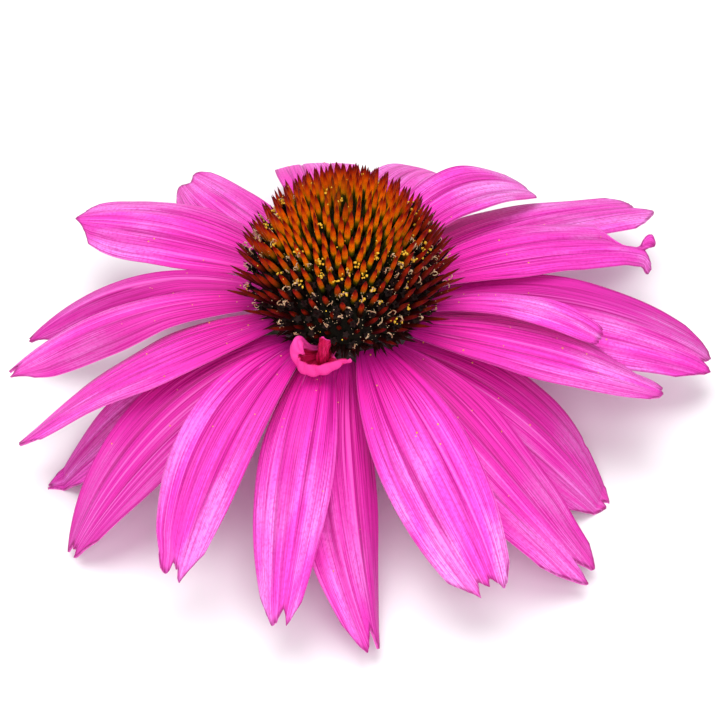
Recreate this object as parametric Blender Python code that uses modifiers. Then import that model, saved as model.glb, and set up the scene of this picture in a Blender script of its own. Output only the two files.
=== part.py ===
"""Purple coneflower bloom, picked with a short stub of its stalk.

It lies face up on a surface at z = 0, on the tips of three of its drooping rays.
+X is to the right of the bloom's front, which looks along -Y, and +Z is up its axis.
Sizes are in millimetres and degrees here, and become metres in the meshes.
"""
from collections import namedtuple
from math import cos, degrees, pi, radians, sin, sqrt

import bmesh
import bpy
import numpy as np
from mathutils import Matrix, Vector

MM = 0.001

# The bloom's axis in the part's frame, whose origin is under the middle of its box.
AXIS_X = -2.365
AXIS_Y = -0.435
RING_HEIGHT = 16.0              # the ring where the rays are rooted, above the surface

# Rays. Their claws are rooted round the head base in levels, one above the other.
ROOT_RADIUS = 8.0
CLAW_LEVEL = {2: -0.55, 1: -0.75, 0: -1.75, -1: -2.75}
RAY_THICKNESS = 0.6
CLAW_SHARE = 0.18               # width of the claw, as a share of the ray's width
SWELL_POWER = 0.9               # how a ray swells from its claw and narrows to its tip
NARROWING_POWER = 2.2
CUP_PULL = 0.1                  # how far cupping pulls the margins in
SHOULDER_POWER = 1.5
NOTCH_DEPTH = 0.045             # the notch between the tip's teeth, and the cut of
SHOULDER_CUT = 0.09             # its shoulders, as shares of the ray's length
TOOTH_PLACE = 1.0 / 3.0         # where the teeth stand across the ray, 0 to 1
RAY_STEPS_ALONG = 8
RAY_STEPS_ACROSS = 6
MIDLINE_STEPS = 60
FLAT_SINK = 0.20                # how far a supporting tip is pressed before it is cut flat

# number, level, root's bearing, heading, sway, length, width, rise at the root, droop at
# the tip, roll at root and tip, cupping, where it is widest, tip's share of the width.
# Bearings run anticlockwise from +X.
Ray = namedtuple("Ray", "number level root heading sway length width rise droop "
                        "root_roll tip_roll cup widest tip")
RAYS = [
    Ray(1, 1, 140, 143, 7, 32.0, 10.4, 4.3, -31, 4, -8, 0.25, 0.55, 0.22),
    Ray(2, 0, 160, 160, 32, 32.1, 5.4, 10, -48, 8, 11, 0.45, 0.62, 0.30),
    Ray(3, 1, 176, 185, 22, 31.1, 5.9, 15.5, -29.5, -5, 7, 0.60, 0.62, 0.34),
    Ray(4, 1, 198, 202, -4, 32.2, 9.0, 5, -41, 2, 31, 0.15, 0.55, 0.22),
    Ray(5, -1, 211, 200, 1, 33.0, 9.0, -3, -56, 0, 12, 0.00, 0.55, 0.26),
    Ray(6, 0, 223, 213, 14, 34.7, 11.0, 4, -51, -1, 16, -0.05, 0.45, 0.22),
    Ray(7, 1, 235, 233, 25, 33.7, 8.2, 16, -40, 5, -33, -0.15, 0.55, 0.40),
    Ray(8, 1, 252, 257, 10, 34.1, 8.5, 7, -39, -4, 20, 0.30, 0.50, 0.32),
    Ray(9, 0, 270, 263, 26, 34.2, 9.0, -5, -37, -1, -33, 0.40, 0.50, 0.36),
    Ray(10, 1, 289, 288, 13, 32.5, 10.5, 3, -33, 4, 33, -0.25, 0.55, 0.46),
    Ray(11, 0, 305, 303, 22, 34.0, 12.0, -8, -36, 6, -20, -0.05, 0.42, 0.50),
    Ray(12, -1, 318, 333, 1, 31.0, 12.5, -5, -56, 8, -8, 0.05, 0.45, 0.22),
    Ray(13, 1, 332, 347, 11, 29.5, 9.0, 6, -32, 2, -10, 0.10, 0.55, 0.32),
    Ray(14, 2, 351, 358, -9, 21.4, 3.8, 22, -34, -5, 16, 0.10, 0.65, 0.50),
    Ray(15, 0, 3, 4, -5, 35.5, 11.5, 1, -34, 4, 11, 0.05, 0.45, 0.54),
    Ray(16, 1, 24, 28, -9, 32.5, 8.5, 4, -28, -4, 4, 0.05, 0.50, 0.26),
    Ray(17, 0, 40, 43, -15, 37.8, 11.2, -5, -21, 0, -18, 0.05, 0.44, 0.76),
    Ray(18, 1, 58, 59, -22, 28.4, 8.3, 13.5, -42, -2, 1, -0.10, 0.60, 0.46),
    Ray(19, 0, 76, 75, -4, 34.5, 10.5, -1, -43, 1, 12, 0.15, 0.55, 0.46),
    Ray(20, 1, 97, 97, -2, 39.0, 10.0, 6, -62, -1, 2, 0.10, 0.55, 0.42),
    Ray(21, 0, 119, 128, -17, 33.0, 9.0, -13, -24, 2, -28, 0.24, 0.50, 0.50),
]
SUPPORTING_RAYS = (5, 12, 20)

# The stunted ray stands curled in front of the cone: rows of its cage from claw to tips.
CURLED_BEARING = 255
CURLED_CAGE = (
    ((-2.1, -8.3, 0.2), (-1.9, -8.3, 0.1), (-1.7, -8.3, 0.1), (-1.5, -8.4, 0.1),
     (-1.3, -8.4, 0.1), (-1.1, -8.4, 0.2)),
    ((-4.4, -10.3, 2.2), (-3.6, -10.4, 0.9), (-2.8, -10.5, 0.5), (-2.1, -10.5, 0.5),
     (-1.5, -10.6, 1.0), (-1.4, -11.0, 1.9)),
    ((-5.6, -10.9, 4.6), (-5.0, -11.4, 2.0), (-3.8, -11.7, 0.7), (-2.6, -11.7, 0.6),
     (-1.9, -11.6, 1.6), (-1.9, -11.5, 4.8)),
    ((-6.0, -11.7, 4.7), (-5.3, -12.4, 2.0), (-3.9, -12.7, 0.8), (-2.6, -12.6, 0.7),
     (-1.5, -12.3, 1.4), (-1.4, -11.9, 2.7)),
    ((-5.6, -12.6, 3.0), (-5.0, -13.2, 1.6), (-3.8, -13.5, 1.1), (-2.5, -13.3, 1.1),
     (-0.9, -12.7, 1.5), (0.3, -12.1, 2.0)),
    ((-5.1, -12.6, 3.4), (-4.5, -13.1, 2.2), (-3.7, -13.4, 1.8), (-2.4, -13.2, 1.8),
     (-0.8, -12.7, 2.0), (0.6, -12.0, 2.5)),
)
CURLED_THICKNESS = 0.5

# Disc cone: a domed receptacle, with stiff pointed paleae in a golden-angle spiral.
CORE_RADIUS = 9.0
CORE_FOOT = 1.3                 # height of the dome's rim and of its apex over the ring
CORE_APEX = 12.4
DOME_POWER = 1.75               # 2 is an ellipse, less is more conical
CONE_SEAT_RADIUS = 7.0
CONE_SEAT = -0.1
CORE_SEGMENTS = 32
CORE_RINGS = 7
PALEA_COUNT = 370
CROWDING = (0.75, 0.30, 0.60)    # how much closer the paleae stand above, and from where
PALEA_LENGTH = 4.7
PALEA_SINK = 1.3
LOW_PALEA = (0.56, 0.10)        # radius at the foot and at the tip, low and high on the cone
HIGH_PALEA = (0.46, 0.18)
PALEA_SIDES = 3
PALEA_LOW_ELEVATION = 14
ELEVATION_POWER = 0.45
YOUNG_SHORTER = 0.12
SHORT_SHARE = 0.24              # the paleae behind the curled ray, up the dome and round it
SHORT_SECTOR = 24
SHORT_LENGTH = 0.42
FLORET_SHARE = 0.34             # open disc florets stand between the lower paleae
FLORET_EVERY = 2
FLORET_LENGTH = 2.3
FLORET_RADIUS = 0.48
FLORET_MOUTH_RADIUS = 0.62
FLORET_SIDES = 4
FLORET_RAISE = 0.055            # how much nearer the apex than its palea, as a share
GOLDEN_ANGLE = pi * (3.0 - sqrt(5.0))

# Green head base, bracts and stalk stub, heights over the ring.
BASE_RADIUS = 7.4
BASE_TOP = -0.4
BASE_FOOT = -3.9
BASE_SHOULDER = ((6.4, -5.4), (3.6, -6.6))      # radius and height of the base's underside
STALK_TOP = -7.2
STALK_RADIUS = 1.7
STUB_LENGTH = 4.0
# Bracts in rows: count, length, turn as a share of a place, height, droop.
BRACT_ROWS = ((12, 5.4, 0.0, -3.8, 22), (12, 4.6, 0.5, -4.5, 36), (9, 3.8, 0.2, -5.2, 50))
BRACT_WIDTH = 2.6
BRACT_THICKNESS = 0.7
BRACT_ROOT_SINK = 1.6
BRACT_POINT_SHARE = 0.08        # width at the tip, as a share of the full width
BRACT_TAPER_POWER = 1.6
BRACT_KEEL = 0.25               # how far the margins hang below the middle
BRACT_ROOT_DROOP = 0.4          # share of the droop at the root


def clear_scene():
    for item in list(bpy.data.objects):
        bpy.data.objects.remove(item)


def material(name, color, roughness):
    made = bpy.data.materials.new(name)
    made.use_nodes = True
    shader = made.node_tree.nodes["Principled BSDF"]
    shader.inputs["Base Color"].default_value = (*color, 1.0)
    shader.inputs["Roughness"].default_value = roughness
    shader.inputs["Metallic"].default_value = 0.0
    return made


def new_object(name, mesh, look, collection):
    made = bpy.data.objects.new(name, mesh)
    if look:
        mesh.materials.append(look)
    collection.objects.link(made)
    return made


def in_frame(x, y, z):
    """A point over the ring's centre, in millimetres, as metres in the part's frame."""
    return Vector((x + AXIS_X, y + AXIS_Y, z + RING_HEIGHT)) * MM


# ---------------------------------------------------------------- rays

def ray_root(ray):
    """The middle of the claw's end."""
    bearing = radians(ray.root)
    return np.array([ROOT_RADIUS * cos(bearing), ROOT_RADIUS * sin(bearing),
                     CLAW_LEVEL[ray.level]])


def ray_midline(ray):
    """Points, sideways directions and upward normals along the ray's middle."""
    share = np.linspace(0.0, 1.0, MIDLINE_STEPS + 1)
    pitch = np.radians(ray.rise + (ray.droop - ray.rise) * share)
    bearing = np.radians(ray.heading + ray.sway * share)
    roll = np.radians(ray.root_roll + (ray.tip_roll - ray.root_roll) * share)
    forward = np.stack([np.cos(pitch) * np.cos(bearing),
                        np.cos(pitch) * np.sin(bearing),
                        np.sin(pitch)], axis=1)
    level_side = np.stack([-np.sin(bearing), np.cos(bearing), np.zeros_like(bearing)], axis=1)
    level_up = np.cross(forward, level_side)
    turn = np.cos(roll)[:, None]
    lean = np.sin(roll)[:, None]
    steps = (forward[1:] + forward[:-1]) / 2.0 * (ray.length / MIDLINE_STEPS)
    points = ray_root(ray) + np.vstack([np.zeros(3), np.cumsum(steps, axis=0)])
    return points, level_side * turn + level_up * lean, level_up * turn - level_side * lean


def ray_half_width(ray, share):
    """A narrow claw, widest near the middle, narrowing to the tip."""
    if share < ray.widest:
        swell = sin(share / ray.widest * pi / 2.0) ** SWELL_POWER
        factor = CLAW_SHARE + (1.0 - CLAW_SHARE) * swell
    else:
        past = (share - ray.widest) / (1.0 - ray.widest)
        factor = 1.0 - (1.0 - ray.tip) * past ** NARROWING_POWER
    return factor * ray.width / 2.0


def tip_cut(across):
    """How much of the ray's length the notch and the shoulders take away."""
    place = abs(across)
    if place < TOOTH_PLACE:
        return NOTCH_DEPTH * (1.0 - place / TOOTH_PLACE)
    return SHOULDER_CUT * ((place - TOOTH_PLACE) / (1.0 - TOOTH_PLACE)) ** SHOULDER_POWER


def along(values, share):
    """The midline's value at a share of its length."""
    place = min(max(share, 0.0), 1.0) * MIDLINE_STEPS
    low = min(int(place), MIDLINE_STEPS - 1)
    return values[low] + (values[low + 1] - values[low]) * (place - low)


def ray_point(ray, midline, share, across):
    """The ray's middle surface: share runs from claw to tip, across from -1 to 1."""
    points, sides, normals = midline
    place = share * (1.0 - tip_cut(across))
    half = ray_half_width(ray, place)
    out = across * half * (1.0 - CUP_PULL * abs(ray.cup) * across ** 2)
    rise = -ray.cup * half * across ** 2
    point = along(points, place) + along(sides, place) * out + along(normals, place) * rise
    if ray.number in SUPPORTING_RAYS:
        lowest = RAY_THICKNESS / 2.0 - FLAT_SINK - RING_HEIGHT
        point[2] = max(point[2], lowest)
    return point


def ray_mesh(ray, steps_along, steps_across):
    """The ray's middle surface as an open grid of triangles."""
    grid = bmesh.new()
    bmesh.ops.create_grid(grid, x_segments=steps_along, y_segments=steps_across, size=1.0)
    midline = ray_midline(ray)
    for vert in grid.verts:
        x, y, z = ray_point(ray, midline, (vert.co.x + 1.0) / 2.0, vert.co.y)
        vert.co = in_frame(x, y, z)
    bmesh.ops.triangulate(grid, faces=grid.faces[:])
    mesh = bpy.data.meshes.new("ray")
    grid.to_mesh(mesh)
    grid.free()
    return mesh


def thicken(made, thickness):
    blade = made.modifiers.new("blade", "SOLIDIFY")
    blade.thickness = thickness * MM
    blade.offset = 0.0
    apply_modifiers(made)


def ray_petal(ray, name, look, collection):
    made = new_object(name, ray_mesh(ray, RAY_STEPS_ALONG, RAY_STEPS_ACROSS), look, collection)
    thicken(made, RAY_THICKNESS)
    if ray.number in SUPPORTING_RAYS:
        cut_flat(made.data)
    return made


def cut_flat(mesh):
    """Cut off what a pressed tip would push below the surface, and cap it flat."""
    solid = bmesh.new()
    solid.from_mesh(mesh)
    geometry = solid.verts[:] + solid.edges[:] + solid.faces[:]
    cut = bmesh.ops.bisect_plane(solid, geom=geometry, dist=1e-8, plane_co=(0, 0, 0),
                                 plane_no=(0, 0, -1), clear_outer=True)
    rim = [item for item in cut["geom_cut"] if isinstance(item, bmesh.types.BMEdge)]
    bmesh.ops.holes_fill(solid, edges=rim)
    solid.to_mesh(mesh)
    solid.free()


def curled_ray(name, look, collection):
    """A stunted ray: its cage of rows, smoothed into lobes and thickened."""
    cage = bmesh.new()
    rows = [[cage.verts.new(in_frame(*point)) for point in row] for row in CURLED_CAGE]
    for lower, upper in zip(rows, rows[1:]):
        for column in range(len(lower) - 1):
            cage.faces.new((lower[column], lower[column + 1], upper[column + 1], upper[column]))
    mesh = bpy.data.meshes.new(name)
    cage.to_mesh(mesh)
    cage.free()
    made = new_object(name, mesh, look, collection)
    smooth = made.modifiers.new("smooth", "SUBSURF")
    smooth.levels = 1
    smooth.render_levels = 1
    thicken(made, CURLED_THICKNESS)
    return made


# ---------------------------------------------------------------- disc cone

def dome_point(share):
    """Radius and height on the core's dome: share runs from the rim to the apex."""
    turn = share * pi / 2.0
    radius = CORE_RADIUS * cos(turn) ** (2.0 / DOME_POWER)
    height = CORE_FOOT + (CORE_APEX - CORE_FOOT) * sin(turn) ** (2.0 / DOME_POWER)
    return radius, height


def turned(name, outline, segments, collection):
    """A closed outline of (radius, height), from the axis back to the axis, turned round."""
    mesh = bpy.data.meshes.new(name)
    profile = bmesh.new()
    verts = [profile.verts.new(Vector((radius, 0.0, height)) * MM) for radius, height in outline]
    for first, second in zip(verts, verts[1:]):
        profile.edges.new((first, second))
    profile.to_mesh(mesh)
    profile.free()
    made = new_object(name, mesh, None, collection)
    made.location = in_frame(0.0, 0.0, 0.0)
    screw = made.modifiers.new("turn", "SCREW")
    screw.steps = segments
    screw.render_steps = segments
    screw.use_merge_vertices = True
    screw.merge_threshold = 0.000001
    screw.use_normal_calculate = True
    apply_modifiers(made)
    return made


def cone_core(collection):
    outline = [(0.0, CORE_APEX)]
    for ring in range(CORE_RINGS - 1, -1, -1):
        outline.append(dome_point(ring / CORE_RINGS))
    outline.append((CONE_SEAT_RADIUS, CONE_SEAT))
    outline.append((0.0, CONE_SEAT))
    return turned("cone core", outline, CORE_SEGMENTS, collection)


def dome_frame(share, bearing):
    """A place on the dome, and the way that what grows there points."""
    radius, height = dome_point(share)
    lift = min(share, 1.0) ** ELEVATION_POWER
    elevation = radians(PALEA_LOW_ELEVATION + (90 - PALEA_LOW_ELEVATION) * lift)
    root = Vector((radius * cos(bearing), radius * sin(bearing), height))
    direction = Vector((cos(bearing) * cos(elevation), sin(bearing) * cos(elevation),
                        sin(elevation)))
    return root, direction


def spiral_places():
    """Share of the way up the dome and bearing of each palea, closer together above."""
    shares = np.linspace(0.0, 1.0, 400)
    ring = np.array([dome_point(share) for share in shares])
    slant = np.hypot(np.diff(ring[:, 0]), np.diff(ring[:, 1]))
    more, low, high = CROWDING
    place = np.clip(((shares[1:] + shares[:-1]) / 2.0 - low) / (high - low), 0.0, 1.0)
    crowd = 1.0 + more * place * place * (3.0 - 2.0 * place)
    room = np.concatenate([[0.0], np.cumsum(slant * (ring[1:, 0] + ring[:-1, 0]) * crowd)])
    for number in range(PALEA_COUNT):
        share = np.interp((number + 0.5) / PALEA_COUNT * room[-1], room, shares)
        yield number, float(share), number * GOLDEN_ANGLE


def behind_curled_ray(share, bearing):
    away = abs(degrees(bearing) % 360.0 - CURLED_BEARING)
    return share < SHORT_SHARE and away < SHORT_SECTOR


def palea_length(share, bearing):
    """The young paleae at the apex are shorter, and so are those behind the curled ray."""
    length = PALEA_LENGTH * (1.0 - YOUNG_SHORTER * share ** 3)
    if behind_curled_ray(share, bearing):
        length *= SHORT_LENGTH
    return length


def spike(root, direction, length, radii, sides, collection):
    """A slim pyramid or prism whose foot is sunk into the core."""
    solid = bmesh.new()
    bmesh.ops.create_cone(solid, cap_ends=True, segments=sides,
                          radius1=radii[0] * MM, radius2=radii[1] * MM,
                          depth=(length + PALEA_SINK) * MM)
    middle = root + direction * ((length - PALEA_SINK) / 2.0)
    turn = direction.to_track_quat("Z", "Y").to_matrix().to_4x4()
    bmesh.ops.transform(solid, matrix=Matrix.Translation(in_frame(*middle)) @ turn,
                        verts=solid.verts[:])
    mesh = bpy.data.meshes.new("spike")
    solid.to_mesh(mesh)
    solid.free()
    return new_object("spike", mesh, None, collection)


def disc_cone(look, collection, joiners):
    core = cone_core(collection)
    for number, share, bearing in spiral_places():
        root, direction = dome_frame(share, bearing)
        radii = [low + (high - low) * share for low, high in zip(LOW_PALEA, HIGH_PALEA)]
        spike(root, direction, palea_length(share, bearing), radii, PALEA_SIDES, joiners)
        open_floret = share < FLORET_SHARE and number % FLORET_EVERY == 0
        if open_floret and not behind_curled_ray(share, bearing):
            root, direction = dome_frame(share + FLORET_RAISE, bearing)
            spike(root, direction, FLORET_LENGTH,
                  (FLORET_RADIUS, FLORET_MOUTH_RADIUS), FLORET_SIDES, joiners)
    join_all(core, joiners)
    core.name = "disc_cone"
    core.data.materials.clear()
    core.data.materials.append(look)
    return core


# ---------------------------------------------------------------- green base

def base_body(collection):
    outline = [(0.0, BASE_TOP), (BASE_RADIUS, BASE_TOP), (BASE_RADIUS, BASE_FOOT),
               *BASE_SHOULDER, (STALK_RADIUS, STALK_TOP),
               (STALK_RADIUS, STALK_TOP - STUB_LENGTH), (0.0, STALK_TOP - STUB_LENGTH)]
    return turned("base body", outline, CORE_SEGMENTS, collection)


def bract(bearing, length, height, droop, collection):
    """One pointed phyllary, spreading and drooping from the base's side."""
    grid = bmesh.new()
    bmesh.ops.create_grid(grid, x_segments=3, y_segments=2, size=1.0)
    start = BASE_RADIUS - BRACT_ROOT_SINK
    whole = length + BRACT_ROOT_SINK
    for vert in grid.verts:
        share = (vert.co.x + 1.0) / 2.0
        taper = (1.0 - BRACT_POINT_SHARE) * share ** BRACT_TAPER_POWER
        half = BRACT_WIDTH / 2.0 * (1.0 - taper)
        fall = radians(droop * (BRACT_ROOT_DROOP + (1.0 - BRACT_ROOT_DROOP) * share))
        out = start + whole * share * cos(fall)
        side = vert.co.y * half
        x = out * cos(bearing) - side * sin(bearing)
        y = out * sin(bearing) + side * cos(bearing)
        keel = BRACT_KEEL * vert.co.y ** 2
        vert.co = in_frame(x, y, height - whole * share * sin(fall) - keel)
    bmesh.ops.triangulate(grid, faces=grid.faces[:])
    mesh = bpy.data.meshes.new("bract")
    grid.to_mesh(mesh)
    grid.free()
    made = new_object("bract", mesh, None, collection)
    thicken(made, BRACT_THICKNESS)
    return made


def stalk_with_bracts(look, collection, joiners):
    body = base_body(collection)
    for count, length, shift, height, droop in BRACT_ROWS:
        for number in range(count):
            bract((number + shift) * 2.0 * pi / count, length, height, droop, joiners)
    join_all(body, joiners)
    body.name = "stalk_with_bracts"
    body.data.materials.clear()
    body.data.materials.append(look)
    return body


# ---------------------------------------------------------------- joining

def apply_modifiers(item):
    """Swap the object's mesh for its evaluated one, in place."""
    graph = bpy.context.evaluated_depsgraph_get()
    graph.update()
    made = bpy.data.meshes.new_from_object(item.evaluated_get(graph))
    item.modifiers.clear()
    item.data = made


def join_all(body, joiners):
    """Join the body and every object of the collection in one solid."""
    union = body.modifiers.new("join", "BOOLEAN")
    union.operation = "UNION"
    union.operand_type = "COLLECTION"
    union.collection = joiners
    union.solver = "MANIFOLD"
    apply_modifiers(body)
    for item in list(joiners.objects):
        bpy.data.objects.remove(item)


def main():
    clear_scene()
    bloom = bpy.data.collections.new("purple coneflower bloom")
    joiners = bpy.data.collections.new("pieces to join")
    bpy.context.scene.collection.children.link(bloom)
    bpy.context.scene.collection.children.link(joiners)
    pink = material("ray pink", (0.80, 0.10, 0.48), 0.5)
    hot_pink = material("curled ray pink", (0.78, 0.06, 0.25), 0.5)
    rust = material("palea orange and maroon", (0.42, 0.09, 0.02), 0.55)
    green = material("bract green", (0.08, 0.16, 0.04), 0.7)
    disc_cone(rust, bloom, joiners)
    stalk_with_bracts(green, bloom, joiners)
    for ray in RAYS:
        ray_petal(ray, f"ray_petal_{ray.number:02d}", pink, bloom)
    curled_ray("curled_ray_petal", hot_pink, bloom)


main()
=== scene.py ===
"""Looks of a purple coneflower bloom that lies face up on the tips of three drooping rays.

Lengths are in millimetres and angles in degrees until a mesh is made, which is in metres.
Bearings run anticlockwise from +X, and heights count from the ring where the rays are rooted.
"""
from collections import namedtuple
from math import cos, pi, radians, sin, sqrt

import bmesh
import bpy
import numpy as np
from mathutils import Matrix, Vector


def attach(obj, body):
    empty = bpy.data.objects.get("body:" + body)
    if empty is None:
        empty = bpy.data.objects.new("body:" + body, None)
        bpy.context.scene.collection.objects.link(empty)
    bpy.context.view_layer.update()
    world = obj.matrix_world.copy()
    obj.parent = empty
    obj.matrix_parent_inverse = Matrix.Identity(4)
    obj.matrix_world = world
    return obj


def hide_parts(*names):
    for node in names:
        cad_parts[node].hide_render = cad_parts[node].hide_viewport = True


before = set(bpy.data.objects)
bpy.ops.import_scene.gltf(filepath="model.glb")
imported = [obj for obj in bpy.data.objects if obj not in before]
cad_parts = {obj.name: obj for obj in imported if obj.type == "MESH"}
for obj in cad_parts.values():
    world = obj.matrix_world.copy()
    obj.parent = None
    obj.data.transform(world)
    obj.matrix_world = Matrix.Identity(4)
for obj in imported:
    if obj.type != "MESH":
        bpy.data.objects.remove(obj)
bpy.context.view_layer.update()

MM = 0.001
SHARP_ANGLE = 50  # edges that bend more are not smoothed

# The bloom's axis in the frame, and the ring where the rays are rooted.
AXIS_X = -2.365
AXIS_Y = -0.435
RING_HEIGHT = 16.0

# ---- rays, as in the solids
ROOT_RADIUS = 8.0
CLAW_LEVEL = {2: -0.55, 1: -0.75, 0: -1.75, -1: -2.75}  # the tiers the claws lie in
CLAW_SHARE = 0.27
MIDLINE_STEPS = 120
SUPPORTING_RAYS = (5, 12, 20)
# Root and heading are bearings; the heading gains sway and the pitch goes from rise to droop.
Ray = namedtuple("Ray", "number level root heading sway length width rise droop "
                        "root_roll tip_roll cup widest tip")
RAYS = [
    Ray(1, 1, 140, 143, 7, 32.0, 10.4, 4.3, -31, 4, -8, .25, .55, .22),
    Ray(2, 0, 160, 160, 32, 32.1, 5.4, 10, -48, 8, 11, .45, .62, .30),
    Ray(3, 1, 176, 185, 22, 31.1, 5.9, 15.5, -29.5, -5, 7, .60, .62, .34),
    Ray(4, 1, 198, 202, -4, 32.2, 9.0, 5, -41, 2, 31, .15, .55, .22),
    Ray(5, -1, 211, 200, 1, 33.0, 9.0, -3, -56, 0, 12, .00, .55, .26),
    Ray(6, 0, 223, 213, 14, 34.7, 11.0, 4, -51, -1, 16, -.05, .45, .22),
    Ray(7, 1, 235, 233, 25, 33.7, 8.2, 16, -40, 5, -33, -.15, .55, .40),
    Ray(8, 1, 252, 257, 10, 34.1, 8.5, 7, -39, -4, 20, .30, .50, .32),
    Ray(9, 0, 270, 263, 26, 34.2, 9.0, -5, -37, -1, -33, .40, .50, .36),
    Ray(10, 1, 289, 288, 13, 32.5, 10.5, 3, -33, 4, 33, -.25, .55, .46),
    Ray(11, 0, 305, 303, 22, 34.0, 12.0, -8, -36, 6, -20, -.05, .42, .50),
    Ray(12, -1, 318, 333, 1, 31.0, 12.5, -5, -56, 8, -8, .05, .45, .22),
    Ray(13, 1, 332, 347, 11, 29.5, 9.0, 6, -32, 2, -10, .10, .55, .32),
    Ray(14, 2, 351, 358, -9, 21.4, 3.8, 22, -34, -5, 16, .10, .65, .50),
    Ray(15, 0, 3, 4, -5, 35.5, 11.5, 1, -34, 4, 11, .05, .45, .54),
    Ray(16, 1, 24, 28, -9, 32.5, 8.5, 4, -28, -4, 4, .05, .50, .26),
    Ray(17, 0, 40, 43, -15, 37.8, 11.2, -5, -21, 0, -18, .05, .44, .76),
    Ray(18, 1, 58, 59, -22, 28.4, 8.3, 13.5, -42, -2, 1, -.10, .60, .46),
    Ray(19, 0, 76, 75, -4, 34.5, 10.5, -1, -43, 1, 12, .15, .55, .46),
    Ray(20, 1, 97, 97, -2, 39.0, 10.0, 6, -62, -1, 2, .10, .55, .42),
    Ray(21, 0, 119, 128, -17, 33.0, 9.0, -13, -24, 2, -28, .24, .50, .50),
]

# The stunted ray stands curled in front of the cone, in rows from claw to tip: a bowl with its
# left margin rolled in and its right one drawn out, and a small folded lobe that stands in it.
# Places are in tenths of a millimetre.
CURLED_BEARING = 255
CURLED_BOWL = (
    ((-22, -82, 3), (-22, -82, 4), (-21, -83, 2), (-19, -83, 1), (-17, -83, 1), (-15, -84, 1),
     (-13, -84, 1), (-11, -84, 2)),
    ((-38, -104, 17), (-39, -100, 24), (-44, -103, 21), (-36, -104, 9), (-28, -105, 5),
     (-21, -105, 5), (-15, -106, 10), (-14, -110, 17)),
    ((-45, -114, 36), (-47, -108, 48), (-56, -109, 46), (-51, -114, 20), (-38, -117, 7),
     (-26, -117, 6), (-18, -116, 13), (-16, -116, 24)),
    ((-47, -120, 36), (-50, -115, 49), (-60, -117, 46), (-56, -124, 20), (-39, -128, 8),
     (-26, -127, 7), (-14, -124, 13), (-9, -121, 22)),
    ((-44, -123, 29), (-47, -121, 39), (-57, -126, 34), (-51, -133, 16), (-38, -136, 11),
     (-25, -134, 11), (-9, -128, 15), (5, -121, 20)),
    ((-43, -122, 29), (-46, -122, 35), (-52, -126, 36), (-48, -130, 30), (-40, -131, 25),
     (-27, -130, 22), (-13, -125, 25), (8, -120, 25)),
)
CURLED_LOBE = (
    ((-29, -115, 9), (-27, -117, 8), (-24, -118, 9), (-22, -117, 10), (-20, -114, 11)),
    ((-30, -113, 22), (-27, -117, 20), (-24, -120, 20), (-21, -116, 21), (-20, -111, 23)),
    ((-28, -112, 36), (-25, -116, 34), (-22, -119, 33), (-20, -115, 33), (-18, -110, 36)),
    ((-26, -112, 48), (-24, -114, 48), (-21, -116, 46), (-19, -115, 45), (-17, -113, 43)),
)
CURLED_WRINKLE = 0.07
# Two columns of the cages get painted shade through the groove value, as in a ray's furrows.
CURLED_GROOVE_COLUMNS = (4, 6)
CURLED_GROOVE = 0.5
CURLED_TONE = 0.3
CURLED_SMOOTHING = 4

# What the solids leave to the looks: fine teeth, grooves, waves and the real thin blade.
RAY_SEED = 700
BLADE_THICKNESS = 0.34
MARGIN_THICKNESS_SHARE = 0.4
BLADE_STEPS_ALONG = 88
BLADE_STEPS_ACROSS = 48
GROOVES = (-0.34, 0.30)  # two deep furrows run along every ray
GROOVE_WIDTH = 0.046
GROOVE_DEPTH = 0.20
GROOVE_DRIFT = 0.05
FINE_RIBS = 13
FINE_RIB_HEIGHT = 0.010
MARGIN_WAVE = 0.16
FRAY = 0.002
DARK_TIP = 0.9  # how far in from the teeth the tip is dark
DARK_TOOTH = (0.20, 0.004, 0.075)
STREAKS_APART = 37.0  # keeps the streaks of rays of other tones from matching

# How hot each ray's pink stays outwards, 0 to 1: partly each ray's own tone and partly painted
# shade, hotter on rays that lie in others' shadow, and paler on ray 5, which paints light into its
# shadow.
HEAT_AND_SHADE = {1: .60, 2: .85, 3: .70, 4: .45, 5: .20, 6: .90, 7: .55, 8: .40, 9: .85, 10: .05, 11: .70,
        12: .70, 13: .50, 14: .20, 15: .30, 16: .45, 17: .40, 18: .10, 19: .60, 20: .30, 21: .70}

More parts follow.
